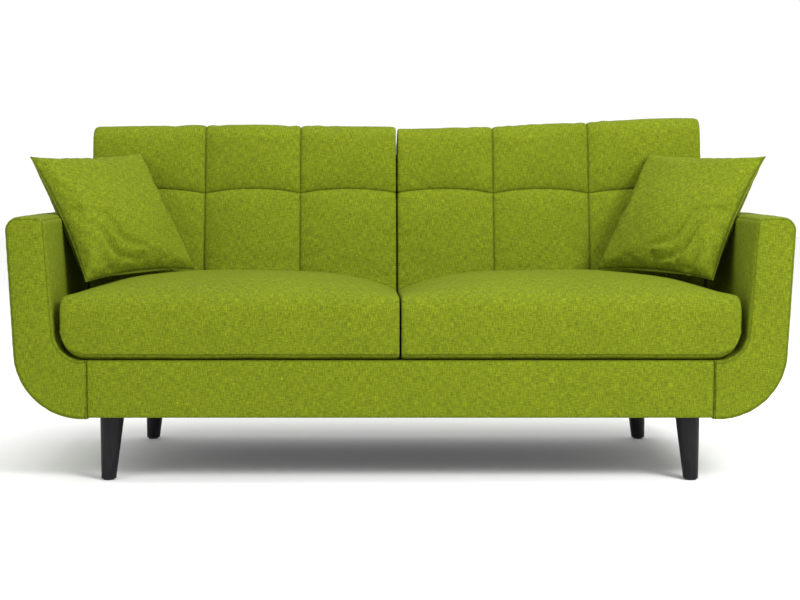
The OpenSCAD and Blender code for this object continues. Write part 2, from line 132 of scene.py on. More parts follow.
def catmull(rows, t, closed):
    """The rows of an array, read at fractional places t along its first axis."""
    n = len(rows)
    i = np.floor(t).astype(int)
    f = (t - i).reshape((-1,) + (1,) * (rows.ndim - 1))

    def row(k):
        return rows[k % n] if closed else rows[np.clip(k, 0, n - 1)]

    a, b, c, d = row(i - 1), row(i), row(i + 1), row(i + 2)
    return 0.5 * (2 * b + (c - a) * f + (2 * a - 5 * b + 4 * c - d) * f ** 2
                  + (3 * b - a - 3 * c + d) * f ** 3)


def ripple(points, scale, seed):
    """Smooth noise between -1 and 1 at each point."""
    shift = Vector((seed * 3.1, seed * 1.7, seed * 0.9))
    flat = [noise.noise(Vector(p) * scale + shift) for p in points.reshape(-1, 3)]
    return np.array(flat).reshape(points.shape[:-1])


def gathers(run, pitch, seed):
    """Noise along rows of run distances, for cloth gathered at a seam."""
    return np.array([[noise.noise(Vector((r * pitch, seed, 0.0))) for r in row] for row in run])


def grid_normals(points):
    """Normals of a band whose loops close round its second axis."""
    du = np.gradient(points, axis=0)
    dv = (np.roll(points, -1, axis=1) - np.roll(points, 1, axis=1)) / 2
    return unit(np.cross(du, dv))


def new_mesh(name, verts, faces, uvs=None, material=None):
    """A smooth mesh object; uvs has one (u, v) in metres for each face corner, in order."""
    mesh = bpy.data.meshes.new(name)
    mesh.from_pydata([tuple(v) for v in verts], [], faces)
    if uvs is not None:
        layer = mesh.uv_layers.new(name="weave")
        layer.data.foreach_set("uv", np.asarray(uvs, float).ravel())
    mesh.polygons.foreach_set("use_smooth", [True] * len(mesh.polygons))
    mesh.update()
    obj = bpy.data.objects.new(name, mesh)
    bpy.context.scene.collection.objects.link(obj)
    if material:
        mesh.materials.append(material)
    return obj


class Builder:
    """Collects grids of points into one mesh with its weave coordinates."""

    def __init__(self):
        self.verts, self.faces, self.uvs = [], [], []
        # Painted seam shade at each point, from 0 to 1.
        self.seam = {}

    def add(self, points):
        """Adds points and returns their numbers, in the points' own shape."""
        flat = np.asarray(points).reshape(-1, 3)
        first = len(self.verts)
        self.verts.extend(flat)
        return (first + np.arange(len(flat))).reshape(np.asarray(points).shape[:-1])

    def quads(self, index, uv, wrap_uv=None, flip=False):
        """Faces between neighbours in an index grid; wrap_uv gives the v of a closing column."""
        rows, cols = index.shape
        last = cols if wrap_uv is not None else cols - 1
        for r in range(rows - 1):
            for c in range(last):
                d = (c + 1) % cols
                uv_c, uv_d = uv[:, c], (uv[:, d] if c + 1 < cols else wrap_uv)
                ring = [index[r, c], index[r, d], index[r + 1, d], index[r + 1, c]]
                place = [uv_c[r], uv_d[r], uv_d[r + 1], uv_c[r + 1]]
                if flip:
                    ring, place = ring[::-1], place[::-1]
                self.faces.append([int(k) for k in ring])
                self.uvs.extend(place)

    def painted_seam_shade(self, index, field):
        """Marks points as lying in a seam, from 0 to 1, which paints shade on the cloth there: the dark line
        stands in for the shade in the seam's groove.
        """
        for k, value in zip(index.ravel(), np.broadcast_to(field, index.shape).ravel()):
            self.seam[int(k)] = float(value)

    def build(self, name, material):
        obj = new_mesh(name, self.verts, self.faces, self.uvs, material)
        # The seam layer carries the painted seam shade to the cloth's colour.
        layer = obj.data.attributes.new("seam", "FLOAT", "POINT")
        layer.data.foreach_set("value", [self.seam.get(k, 0.0) for k in range(len(self.verts))])
        return obj


# ------------------------------------------------------------------ four-sided closed forms


def loop_places(pa, pb, na, nb):
    """Places round a loop whose four sides have places pa, pb, pa and pb."""
    return np.concatenate([pa[:-1], na + pb[:-1], na + nb + (na - pa[::-1])[:-1],
                           2 * na + nb + (nb - pb[::-1])[:-1]])


def coons(loop, na, nb):
    """A grid of points over a four-sided loop, (na + 1) by (nb + 1)."""
    low, high = loop[np.arange(na + 1)], loop[2 * na + nb - np.arange(na + 1)]
    left, right = loop[(-np.arange(nb + 1)) % len(loop)], loop[na + np.arange(nb + 1)]
    u = np.linspace(0, 1, na + 1)[:, None, None]
    v = np.linspace(0, 1, nb + 1)[None, :, None]
    return ((1 - v) * low[:, None] + v * high[:, None] + (1 - u) * left[None] + u * right[None]
            - (1 - u) * (1 - v) * low[0] - u * (1 - v) * low[-1]
            - (1 - u) * v * high[0] - u * v * high[-1])


def patch_bulge(na, nb, power=5):
    """1 over the middle of a patch, falling to 0 at its edges."""
    u = np.abs(np.linspace(-1, 1, na + 1))[:, None] ** power
    v = np.abs(np.linspace(-1, 1, nb + 1))[None, :] ** power
    return ((1 - u) * (1 - v))[..., None]


def patch_index(index_loop, inner, na, nb):
    """The point numbers of a patch, whose edge is the loop's own points."""
    grid = np.zeros((na + 1, nb + 1), int)
    grid[1:-1, 1:-1] = inner
    grid[:, 0] = index_loop[np.arange(na + 1)]
    grid[:, nb] = index_loop[2 * na + nb - np.arange(na + 1)]
    grid[0, :] = index_loop[(-np.arange(nb + 1)) % len(index_loop)]
    grid[na, :] = index_loop[na + np.arange(nb + 1)]
    return grid


def closed_form(name, band, na, nb, ends, material=None, axes=(1, 2), seam=0.0):
    """One closed mesh from a band of loops and a patch over each of its ends."""
    b = Builder()
    index = b.add(band)
    b.painted_seam_shade(index, seam)
    u = mean_run(band)
    once_round = np.concatenate([band, band[:, :1]], axis=1)
    v = np.r_[0, np.cumsum(np.linalg.norm(np.diff(once_round, axis=1), axis=2).mean(axis=0))]
    uv = np.stack(np.broadcast_arrays(u[:, None], v[None, :-1]), axis=2)
    wrap = np.stack([u, np.full(len(u), v[-1])], axis=1)
    b.quads(index, uv, wrap)
    for row, patch in ((0, ends[0]), (-1, ends[1])):
        inner = b.add(patch[1:-1, 1:-1])
        grid = patch_index(index[row], inner, na, nb)
        b.quads(grid, patch[..., list(axes)], flip=row == -1)
    obj = b.build(name, material)
    outward(obj)
    return obj


def outward(obj):
    """Turns every face of a closed mesh outwards."""
    work = bmesh.new()
    work.from_mesh(obj.data)
    bmesh.ops.recalc_face_normals(work, faces=work.faces)
    if work.calc_volume(signed=True) < 0:
        bmesh.ops.reverse_faces(work, faces=work.faces)
    work.to_mesh(obj.data)
    work.free()


def press_clear(obj, *others, gap=0.0004, reach=0.015):
    """Moves a soft piece's points out of the pieces it lies against, to a gap from them."""
    for other in others:
        work = bmesh.new()
        work.from_mesh(other.data)
        tree = BVHTree.FromBMesh(work)
        work.free()
        for v in obj.data.vertices:
            at, normal, _, _ = tree.find_nearest(v.co, reach)
            if at is not None and (v.co - at).dot(normal) < gap:
                v.co = at + normal * gap
    work = bmesh.new()
    work.from_mesh(obj.data)
    bmesh.ops.dissolve_degenerate(work, edges=work.edges, dist=1e-5)
    work.to_mesh(obj.data)
    work.free()


# ------------------------------------------------------------------ cloth


SWELL_FRAMES = 20


def inflate(obj, pinned, cap, pressure=4.0, slack=0.02):
    """Swells a mesh as stuffed cloth; pinned points stay. Returns the points, moved at most cap."""
    start = np.array([v.co[:] for v in obj.data.vertices])
    group = obj.vertex_groups.new(name="pin")
    for k in np.flatnonzero(pinned > 0):
        group.add([int(k)], float(pinned[k]), "REPLACE")
    cloth = obj.modifiers.new("cloth", "CLOTH")
    s = cloth.settings
    s.quality = 6
    s.mass = 0.25
    s.tension_stiffness = s.compression_stiffness = 18
    s.shear_stiffness = 8
    s.bending_stiffness = 0.35
    s.air_damping = 2
    s.use_pressure = True
    s.uniform_pressure_force = pressure
    s.vertex_group_mass = "pin"
    s.pin_stiffness = 1
    s.shrink_min = -slack
    s.effector_weights.gravity = 0
    cloth.collision_settings.use_collision = False
    cloth.point_cache.frame_start = 1
    cloth.point_cache.frame_end = SWELL_FRAMES
    scene = bpy.context.scene
    for f in range(1, SWELL_FRAMES + 1):
        scene.frame_set(f)
    shown = obj.evaluated_get(bpy.context.evaluated_depsgraph_get())
    moved = np.array([v.co[:] for v in shown.data.vertices])
    scene.frame_set(1)
    bpy.data.objects.remove(obj)
    step = moved - start
    far = np.linalg.norm(step, axis=1, keepdims=True)
    return start + step * np.minimum(1, cap / np.maximum(far, 1e-9))


def blurred(field, times, closed=True):
    """A grid's field averaged with its neighbours; a band closes round its second axis."""
    for _ in range(times):
        if closed:
            field = (field + np.roll(field, 1, 1) + np.roll(field, -1, 1)) / 3
        else:
            inner = (field[:, :-2] + field[:, 1:-1] + field[:, 2:]) / 3
            field = np.concatenate([field[:, :1], inner, field[:, -1:]], axis=1)
        inner = (field[:-2] + field[1:-1] + field[2:]) / 3
        field = np.concatenate([field[:1], inner, field[-1:]])
    return field


# ------------------------------------------------------------------ seams and surface


def along(values, places_at):
    return np.interp(places_at, np.arange(len(values)), values)


# Width of a seam's valley and of the painted shade line at its bottom, which stands in for the shade in the
# groove.
SEAM_WIDTH = 0.0022
SEAM_SHADE_WIDTH = 0.0014
# Depth and gathering of the seams at a cushion's ends, down its panels and along its side.
END_SEAM = (0.0020, 0.0006)
PANEL_SEAM = (0.0034, 0.0008)
SIDE_SEAM = (0.0030, 0.0009)
GATHER_REACH = 0.014
GATHER_PITCH = 70


def seam_field(distance, width):
    return np.exp(-(distance / width) ** 2)


def pucker(distance, run, seed):
    """Small gathers that run away from a seam."""
    return gathers(run, GATHER_PITCH, seed) * np.exp(-distance / GATHER_REACH)


# Distances from a seam at which the finished surface has extra rows, and the closest two rows may be.
NEAR = (0.0, 0.0012, 0.003, 0.0065)
CLOSEST = 0.0008
FINE_STEP = 0.0065

# How far a cushion's inner and outer gussets stand out beyond their seams.
END_BULGE = (0.0006, 0.004)

# The furthest a cushion's points swell, and the share of the broad swelling that is kept.
SWELL_CAP = 0.022
BROAD_KEPT = 0.35
BROAD_BLUR = 14


def refine(values, step, lines=()):
    """Fractional places along a coarse run of lengths, finer close to each line's place."""
    total = len(values) - 1
    size = (values[-1] - values[0]) / total
    count = max(2, int(round((values[-1] - values[0]) / step)) + 1)
    base = np.interp(np.linspace(values[0], values[-1], count), values, np.arange(total + 1))
    out = [0.0, float(total)]
    for p in base:
        if all(abs(p - line) * size > NEAR[-1] * 1.15 for line in lines):
            out.append(p)
    for line in lines:
        for off in NEAR:
            out += [line - off / size, line + off / size]
    out = sorted(o for o in out if -1e-9 <= o <= total + 1e-9)
    kept = [out[0]]
    for o in out[1:]:
        if (o - kept[-1]) * size > CLOSEST:
            kept.append(o)
    kept[-1] = float(total)
    return np.clip(np.array(kept), 0, total)


def end_patches(band, na, nb, way):
    """A patch over each end of a cushion's band, standing a little proud of it."""
    made = []
    for row, sign, bulge in ((0, -way, END_BULGE[0]), (-1, way, END_BULGE[1])):
        made.append(coons(band[row], na, nb) + patch_bulge(na, nb) * np.array([sign * bulge, 0, 0]))
    return made


def cushion(name, band, na, nb, pins, station_lines, side_lines, seed, material, wrinkle,
            front_only=None):
    """Inflates a coarse band, resamples it finely, sews its seams with painted shade along them, and closes
    its ends.
    """
    stations, around = band.shape[:2]
    way = np.sign(band[-1, 0, 0] - band[0, 0, 0])
    cage = closed_form(name + "_cage", band, na, nb, end_patches(band, na, nb, way))
    pinned = np.zeros(len(cage.data.vertices))
    pinned[:stations * around] = pins.ravel()
    pinned[stations * around:] = 1
    swollen = inflate(cage, pinned, SWELL_CAP)[:stations * around].reshape(band.shape)
    shift = swollen - band
    broad = blurred(shift, BROAD_BLUR)
    form = band + BROAD_KEPT * broad + wrinkle * (shift - broad)

    end_stations = (0.0, float(stations - 1))
    lengths = mean_run(form)
    middle_loop = form[stations // 2]
    ps = refine(lengths, FINE_STEP, end_stations + tuple(station_lines))
    pa = refine(run_of(middle_loop[:na + 1]), FINE_STEP)
    pb = refine(run_of(middle_loop[na:na + nb + 1]), FINE_STEP, side_lines)
    pv = loop_places(pa, pb, na, nb)
    fine = catmull(form, ps, closed=False)
    fine = np.swapaxes(catmull(np.swapaxes(fine, 0, 1), pv, closed=True), 0, 1)
    normals = grid_normals(fine)
    if np.sum(normals * (fine - fine.mean(axis=(0, 1)))) < 0:
        normals = -normals

    u = along(lengths, ps)
    run_v = run_of(fine[len(ps) // 2])
    uu, vv = np.meshgrid(u, run_v, indexing="ij")
    lines = [(np.abs(uu - along(lengths, at)), vv, 1.0, *END_SEAM) for at in end_stations]
    lines += [(np.abs(uu - along(lengths, at)), vv, front_only(pv)[None, :], *PANEL_SEAM)
              for at in station_lines]
    lines += [(np.abs(vv - np.interp(na + at, pv, run_v)), uu, 1.0, *SIDE_SEAM) for at in side_lines]
    moved = np.zeros(uu.shape)
    # Painted shade: a dark line down each seam's valley, stored on the points for the cloth's colour.
    thread_and_seam_shade = np.zeros(uu.shape)
    for k, (d, run, mask, deep, gather) in enumerate(lines):
        moved += (gather * pucker(d, run, seed + k) - deep * seam_field(d, SEAM_WIDTH)) * mask
        thread_and_seam_shade = np.maximum(thread_and_seam_shade, seam_field(d, SEAM_SHADE_WIDTH) * mask)
    from_end = np.minimum(uu, u[-1] - uu)
    lumps = 0.0016 * ripple(fine, 7.0, seed) + 0.0006 * ripple(fine, 26.0, seed + 5)
    moved += lumps * smooth(from_end / 0.02)
    # Only the front and the top are sewn and uneven: the bottom and the rear stay plain.
    moved *= ((pv > na) * (1 - smooth((pv - 2 * na - nb + 1) / 2)))[None, :]
    fine = fine + normals * moved[..., None]
    fa, fb = len(pa) - 1, len(pb) - 1
    return closed_form(name, fine, fa, fb, end_patches(fine, fa, fb, way), material, seam=0.62 * thread_and_seam_shade)


# Distances from a cushion's end at which its rounded edge has loops.
EDGE_SOFT = (0.0, 0.0035, 0.009, 0.017, 0.027)
# Run and depth of the rounding at a cushion's inner and outer edge.
INNER_EDGE = (0.013, 0.005)
OUTER_EDGE = (0.019, 0.0065)


def edge_inset(x, first, last):
    """How far a loop is drawn in near its ends: a tight edge inside, a rounder one outside."""
    run, depth = INNER_EDGE if x - first < last - x else OUTER_EDGE
    d = min(min(x - first, last - x) / run, 1.0)
    return depth * (1 - math.sqrt(max(0.0, 1 - (1 - d) ** 2)))


def inset_loop(loop, amount):
    """A closed loop of (a, b) points moved inwards."""
    ahead, behind = np.roll(loop, -1, 0), np.roll(loop, 1, 0)
    way = unit(ahead - behind)
    normal = np.c_[-way[:, 1], way[:, 0]]
    area = np.sum(loop[:, 0] * ahead[:, 1] - ahead[:, 0] * loop[:, 1])
    return loop + normal * amount * np.sign(area)


# ------------------------------------------------------------------ finishes


def shader(name):
    mat = bpy.data.materials.new(name)
    mat.use_nodes = True
    tree = mat.node_tree
    tree.nodes.clear()
    out = tree.nodes.new("ShaderNodeOutputMaterial")
    bsdf = tree.nodes.new("ShaderNodeBsdfPrincipled")
    tree.links.new(bsdf.outputs[0], out.inputs[0])
    return mat, tree, bsdf


def node(tree, kind, inputs=None, **settings):
    made = tree.nodes.new(kind)
    for key, value in settings.items():
        setattr(made, key, value)
    for key, value in (inputs or {}).items():
        socket = made.inputs[key]
        if isinstance(value, bpy.types.NodeSocket):
            tree.links.new(value, socket)
        else:
            socket.default_value = value
    return made


def streaks(tree, coords, scale, detail=3.0, rough=0.6):
    """Noise stretched by a scale on each axis."""
    place = node(tree, "ShaderNodeMapping", {"Vector": coords, "Scale": scale})
    return node(tree, "ShaderNodeTexNoise", {"Vector": place.outputs[0], "Scale": 1.0,
                                             "Detail": detail, "Roughness": rough}).outputs["Fac"]


def maths(tree, operation, a, b=0.0):
    return node(tree, "ShaderNodeMath", {0: a, 1: b}, operation=operation).outputs[0]


def weighted(tree, a, a_share, b, b_share):
    """a times a_share plus b times b_share."""
    return maths(tree, "ADD", maths(tree, "MULTIPLY", a, a_share), maths(tree, "MULTIPLY", b, b_share))


def roughened(tree, bsdf, pattern, rough, swing):
    """Links a roughness that swings about a value with a pattern."""
    wavy = maths(tree, "ADD", maths(tree, "MULTIPLY", pattern, swing), rough - swing / 2)
    tree.links.new(wavy, bsdf.inputs["Roughness"])


def bumped(tree, bsdf, height, relief, depth):
    bump = node(tree, "ShaderNodeBump", {"Height": height, "Strength": relief, "Distance": depth})
    tree.links.new(bump.outputs[0], bsdf.inputs["Normal"])


def ramp(tree, factor, stops):
    made = node(tree, "ShaderNodeValToRGB", {"Fac": factor})
    bar = made.color_ramp
    while len(bar.elements) < len(stops):
        bar.elements.new(0.5)
    for element, (at, colour) in zip(bar.elements, stops):
        element.position = at
        element.color = (*colour, 1.0)
    return made.outputs[0]


def shade(colour, k):
    return tuple(min(1.0, c * k) for c in colour)


# Lengthwise and crosswise scale of the thick slubs and of the fine threads.
SLUB = (52, 560)
THREAD = (84, 940)


def woven(name, colour, pitch=0.0011, spread=0.43, rough=0.9, sheen=0.06, uv=True, relief=0.35):
    """Linen-like cloth: slubs along both threads, a fine weave and mottled colour, with painted shade
    darkening it where the seam attribute is set.
    """
    mat, tree, bsdf = shader(name)
    if uv:
        coords = node(tree, "ShaderNodeUVMap", uv_map="weave").outputs[0]
    else:
        coords = node(tree, "ShaderNodeTexCoord").outputs["Object"]
    layers = []
    for along_it, across in (SLUB, THREAD):
        weft = streaks(tree, coords, (along_it, across, across), 1.0, 0.5)
        warp = streaks(tree, coords, (across, along_it, along_it), 1.0, 0.5)
        layers.append(weighted(tree, weft, 0.5, warp, 0.5))
    thick, fine = layers
    cloud = streaks(tree, coords, (5, 5, 5), 3.0)
    slub = weighted(tree, thick, 0.46, fine, 0.54)
    tone = weighted(tree, slub, 0.95, cloud, 0.05)
    stops = ((0.38, -1.15), (0.47, -0.35), (0.53, 0.35), (0.62, 1.5))
    tint = ramp(tree, tone, [(at, shade(colour, 1 + amount * spread)) for at, amount in stops])
    # Painted shade: where the seam attribute is set, the colour is mixed towards a tenth of itself, a dark
    # line for the shade in seams and at edges.
    painted_seam_shade = node(tree, "ShaderNodeAttribute", attribute_name="seam").outputs["Fac"]
    seam_shade_colour = (*shade(colour, 0.10), 1)
    dark = node(tree, "ShaderNodeMix", {"Factor": painted_seam_shade, 6: tint, 7: seam_shade_colour}, data_type="RGBA")
    tree.links.new(dark.outputs[2], bsdf.inputs["Base Color"])
    roughened(tree, bsdf, fine, rough, 0.16)
    bsdf.inputs["Sheen Weight"].default_value = sheen
    bsdf.inputs["Sheen Roughness"].default_value = 0.5
    bsdf.inputs["Sheen Tint"].default_value = (*colour, 1.0)
    bsdf.inputs["Specular IOR Level"].default_value = 0.12
    waves = []
    for direction in ("X", "Y"):
        waves.append(node(tree, "ShaderNodeTexWave", {"Vector": coords, "Scale": 0.314 / pitch,
                                                      "Distortion": 0.6, "Detail": 1.0},
                          bands_direction=direction).outputs["Fac"])
    thread_and_seam_shade = maths(tree, "MULTIPLY", waves[0], waves[1])
    height = maths(tree, "ADD", maths(tree, "MULTIPLY", thread_and_seam_shade, 0.5), slub)
    bumped(tree, bsdf, height, relief, 0.0009)
    return mat


def grained(name, dark, light, axis=1, rough=0.55, scale=(14, 120), relief=0.2, gloss=0.5):
    """Wood with its grain along one axis."""
    mat, tree, bsdf = shader(name)
    coords = node(tree, "ShaderNodeTexCoord").outputs["Object"]
    size = [scale[1]] * 3
    size[axis] = scale[0]
    grain = streaks(tree, coords, tuple(size), 5.0)
    rings = streaks(tree, coords, tuple(s * 0.25 for s in size), 2.0)
    tone = weighted(tree, grain, 0.6, rings, 0.4)
    tint = ramp(tree, tone, [(0.35, dark), (0.65, light)])
    tree.links.new(tint, bsdf.inputs["Base Color"])
    roughened(tree, bsdf, grain, rough, 0.2)
    bsdf.inputs["Specular IOR Level"].default_value = gloss
    bumped(tree, bsdf, grain, relief, 0.0006)
    return mat


def speckled(name, colour, scale, spread=0.12, rough=0.6, metal=0.0, relief=0.15, stretch=(1, 1, 1)):
    """Foam, felt, moulded plastic or metal: a grainy surface."""
    mat, tree, bsdf = shader(name)
    coords = node(tree, "ShaderNodeTexCoord").outputs["Object"]
    grain = streaks(tree, coords, tuple(scale * s for s in stretch), 4.0)
    tint = ramp(tree, grain, [(0.3, shade(colour, 1 - spread)), (0.7, shade(colour, 1 + spread))])
    tree.links.new(tint, bsdf.inputs["Base Color"])
    roughened(tree, bsdf, grain, rough, 0.2)
    bsdf.inputs["Metallic"].default_value = metal
    bumped(tree, bsdf, grain, relief, 0.0005)
    return mat


LIME = (0.106, 0.137, 0.0036)
LIME_SOLID = woven("lime_linen_solid", LIME, uv=False)
LIME_CLOTH = woven("lime_linen", LIME)

FINISHES = {
    "cover_fabric": LIME_SOLID,
    "deck_fabric": woven("lime_deck_cloth", shade(LIME, 0.8), uv=False, spread=0.12),
    "zip_tape": woven("zip_tape_weave", shade(LIME, 0.7), uv=False, pitch=0.0008, spread=0.1),
    "foam": speckled("cushion_foam", (0.80, 0.74, 0.52), 420, 0.14, 0.95, relief=0.5),
    "felt": speckled("wool_felt", (0.55, 0.54, 0.50), 240, 0.22, 0.98, relief=0.5),
    "webbing": woven("jute_webbing", (0.42, 0.34, 0.22), uv=False, pitch=0.0026, spread=0.24),
    "dust_cloth": woven("black_dust_cloth", (0.018, 0.018, 0.019), uv=False, pitch=0.0016, spread=0.3,
                        sheen=0.1),
    "frame_wood": grained("pine", (0.46, 0.28, 0.12), (0.68, 0.47, 0.25), axis=0),
    "frame_plywood": grained("birch_plywood", (0.52, 0.36, 0.19), (0.72, 0.55, 0.34), axis=2),
    "leg_wood": grained("black_lacquered_wood", (0.0035, 0.0035, 0.004), (0.010, 0.010, 0.0115),
                        axis=2, rough=0.46, scale=(20, 260), relief=0.25, gloss=0.14),
    "spring_steel": speckled("spring_steel", (0.30, 0.30, 0.31), 300, 0.2, 0.38, 1.0),
    "zinc_steel": speckled("zinc_steel", (0.62, 0.62, 0.63), 260, 0.12, 0.34, 1.0),
    "glide_plastic": speckled("nylon_glide", (0.02, 0.02, 0.021), 500, 0.2, 0.5),
}


# ------------------------------------------------------------------ seat cushions

# Spacing of the loops that are simulated, and where they end inside a cushion's CAD box.
CELL = 0.0155
INNER_END = -0.0022
OUTER_END = 0.004

SEAT_CORNER_R = 0.062
SEAT_FRONT_R = 0.042
SEAT_REAR_R = 0.016
SEAT_REAR_GAP = 0.005
SEAT_TUCK = 0.026
# Heights of the top along a seat's depth at its sides, and how much higher it is half-way across.
SEAT_EDGE = ((0, 0.5, 1), (0.458, 0.449, 0.441))
SEAT_CROWN = ((0, 0.25, 0.5, 1), (0.008, 0.032, 0.043, 0.050))
CROWN_POWER = 3.2


def stations_with(first, last, marks):
    """Stations from first to last, close together at the rounded ends, with one on every mark."""
    out = [first + d for d in EDGE_SOFT] + [last - d for d in EDGE_SOFT]
    stops = [first + EDGE_SOFT[-1], *marks, last - EDGE_SOFT[-1]]
    for a, b in zip(stops[:-1], stops[1:]):
        out += list(np.linspace(a, b, max(2, int(round((b - a) / CELL)) + 1)))
    out = np.array(sorted(set(np.round(out, 6))))
    return out[np.r_[True, np.diff(out) > 0.0015]]


def low_corner(x, last, radius):
    """How far the underside rises where it follows the arm's curve."""
    over = np.clip(x - (last - radius), 0, radius * 0.985)
    return radius - math.sqrt(radius ** 2 - over ** 2)


def seat_loop(x, x0, x1, na, nb, seam_row):
    """Side outline of a seat cushion at x: bottom, front, top, rear."""
    t = (x - x0) / (x1 - x0)
    y0, z0 = SEAT_LO[1], SEAT_LO[2] + low_corner(x, x1, SEAT_CORNER_R)
    s = np.linspace(0, 1, 24)
    top_z = np.interp(s, *SEAT_EDGE) + np.interp(s, *SEAT_CROWN) * (1 - abs(2 * t - 1) ** CROWN_POWER)
    top_rear_y = cushion_plane(top_z[-1] - 0.018) - SEAT_REAR_GAP - SEAT_REAR_R
    top = np.c_[np.linspace(y0 + SEAT_FRONT_R, top_rear_y, len(s)), top_z]
    fall = arc((y0 + SEAT_FRONT_R, top_z[0] - SEAT_FRONT_R), SEAT_FRONT_R, 180, 90, 12)
    front = np.vstack([[[y0 + SEAT_TUCK, z0]], [[y0 + 0.011, z0 + 0.0045]], [[y0 + 0.003, z0 + 0.0125]],
                       [[y0, z0 + 0.024]], fall[:7]])
    over = np.vstack([fall[6:], top[1:],
                      arc((top_rear_y, top_z[-1] - SEAT_REAR_R), SEAT_REAR_R, 90, 35, 5)])
    back = np.vstack([over[-1:], [[cushion_plane(top_z[-1] - 0.03) - SEAT_REAR_GAP, top_z[-1] - 0.03]],
                      [[cushion_plane(z0) - SEAT_REAR_GAP, z0]]])
    under = np.array([back[-1], [y0 + SEAT_TUCK, z0]])
    return divided((under, front[:3], front[2:], over, back), (na, seam_row, nb - seam_row, na, nb))


def as_band(loops, xs, side):
    """(y, z) loops at stations xs as 3-D points, on the right (1) or left (-1)."""
    return np.array([[(side * x, y, z) for y, z in loop] for x, loop in zip(xs, loops)])


def seat_cushion(side, seed):
    x0, x1 = SEAT_LO[0] + INNER_END, SEAT_HI[0] - OUTER_END
    na, nb, seam_row = 32, 13, 1
    xs = stations_with(x0, x1, [])
    loops = [inset_loop(seat_loop(x, x0, x1, na, nb, seam_row), edge_inset(x, x0, x1)) for x in xs]
    band = as_band(loops, xs, side)
    pins = np.zeros(band.shape[:2])
    pins[[0, -1]] = 1
    pins[:, :na + seam_row + 1] = 1
    pins[:, 2 * na + nb:] = 1
    body = SIDE_WORD[side] + "_seat_cushion"
    obj = cushion(body + "_pad", band, na, nb, pins, (), (float(seam_row),), seed, LIME_CLOTH, 0.3)
    finish_soft(obj, body, [body + "_cover", body + "_core"])
    return obj


def finish_soft(obj, body, nodes):
    """Puts a soft piece on its body, in place of CAD nodes."""
    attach(obj, body)
    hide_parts(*nodes)


# ------------------------------------------------------------------ back cushions

QUILT_X = (0.264, 0.525)
QUILT_Z = 0.704
QUILT_RISE = 0.011

BACK_THICK = 0.150
BACK_CORNER_R = 0.068
BACK_TOP_R = 0.046
# The right cushion's top climbs to its outer end, and the left one's is highest half-way.
RIGHT_TOP, RIGHT_CLIMB = 0.886, 0.029
LEFT_TOP, LEFT_CROWN = 0.890, 0.008
# Depth and reach of the hollows at the upright and the level quilting seams.
COLUMN_DENT = (0.011, 0.034)
ROW_DENT = (0.010, 0.030)
DEEPEST_DENT = 0.017


def back_top(t, side):
    """Height of a back cushion's top, from its inner end (t 0) to its outer one."""
    if side > 0:
        return RIGHT_TOP + RIGHT_CLIMB * smooth(t)
    return LEFT_TOP + LEFT_CROWN * math.sin(math.pi * min(1, max(0, t)))


def back_loop(x, x0, x1, side, na, nb, seam_row):
    """Side outline of a leaning back cushion at x: bottom, front, top, rear."""
    t = (x - x0) / (x1 - x0)
    cos_a, sin_a = math.cos(BACK_TILT), math.sin(BACK_TILT)
    near = min(abs(x - q) for q in QUILT_X)
    top = (back_top(t, side) - 0.0025 * math.exp(-near / 0.016) - BACK_LO[2]) / cos_a
    marks = [x0] + list(QUILT_X) + [x1]
    k = max(i for i in range(3) if x >= marks[i] - 1e-9)
    along_panel = (x - marks[k]) / (marks[k + 1] - marks[k])
    seam = (QUILT_Z - BACK_LO[2] + QUILT_RISE * (1 - (2 * along_panel - 1) ** 2)) / cos_a

    def dent(h):
        column = COLUMN_DENT[0] * math.exp(-near / COLUMN_DENT[1])
        return min(DEEPEST_DENT, column + ROW_DENT[0] * math.exp(-abs(h - seam) / ROW_DENT[1]))

    r = BACK_TOP_R
    low = low_corner(x, x1, BACK_CORNER_R)
    heights = np.sort(np.r_[np.linspace(low, top - r, 40), seam])
    face = np.array([(dent(h), h) for h in heights])
    face[0, 0] = 0.004
    turn = arc((r, top - r), r, 180, 90, 10)
    turn[:, 0] += dent(top - r) * np.linspace(1, 0.4, len(turn))
    side_front = np.vstack([face, turn[1:5]])
    k_seam = int(np.argmin(np.abs(side_front[:, 1] - seam)))
    rear_turn = arc((BACK_THICK - 0.010 - r, top - r), r, 90, 0, 10)
    over = np.vstack([turn[4:], rear_turn[:6]])
    low_rear = low + BACK_THICK * math.tan(BACK_TILT)
    back = np.vstack([rear_turn[5:], [[BACK_THICK, top - 0.24]], [[BACK_THICK, low_rear]]])
    under = np.array([[BACK_THICK, low_rear], [face[0, 0], low]])
    loop = divided((under, side_front[:k_seam + 1], side_front[k_seam:], over, back),
                   (na, seam_row, nb - seam_row, na, nb))
    w, h = loop[:, 0], loop[:, 1]
    return np.c_[BACK_LO[1] + w * cos_a + h * sin_a, BACK_LO[2] - w * sin_a + h * cos_a]


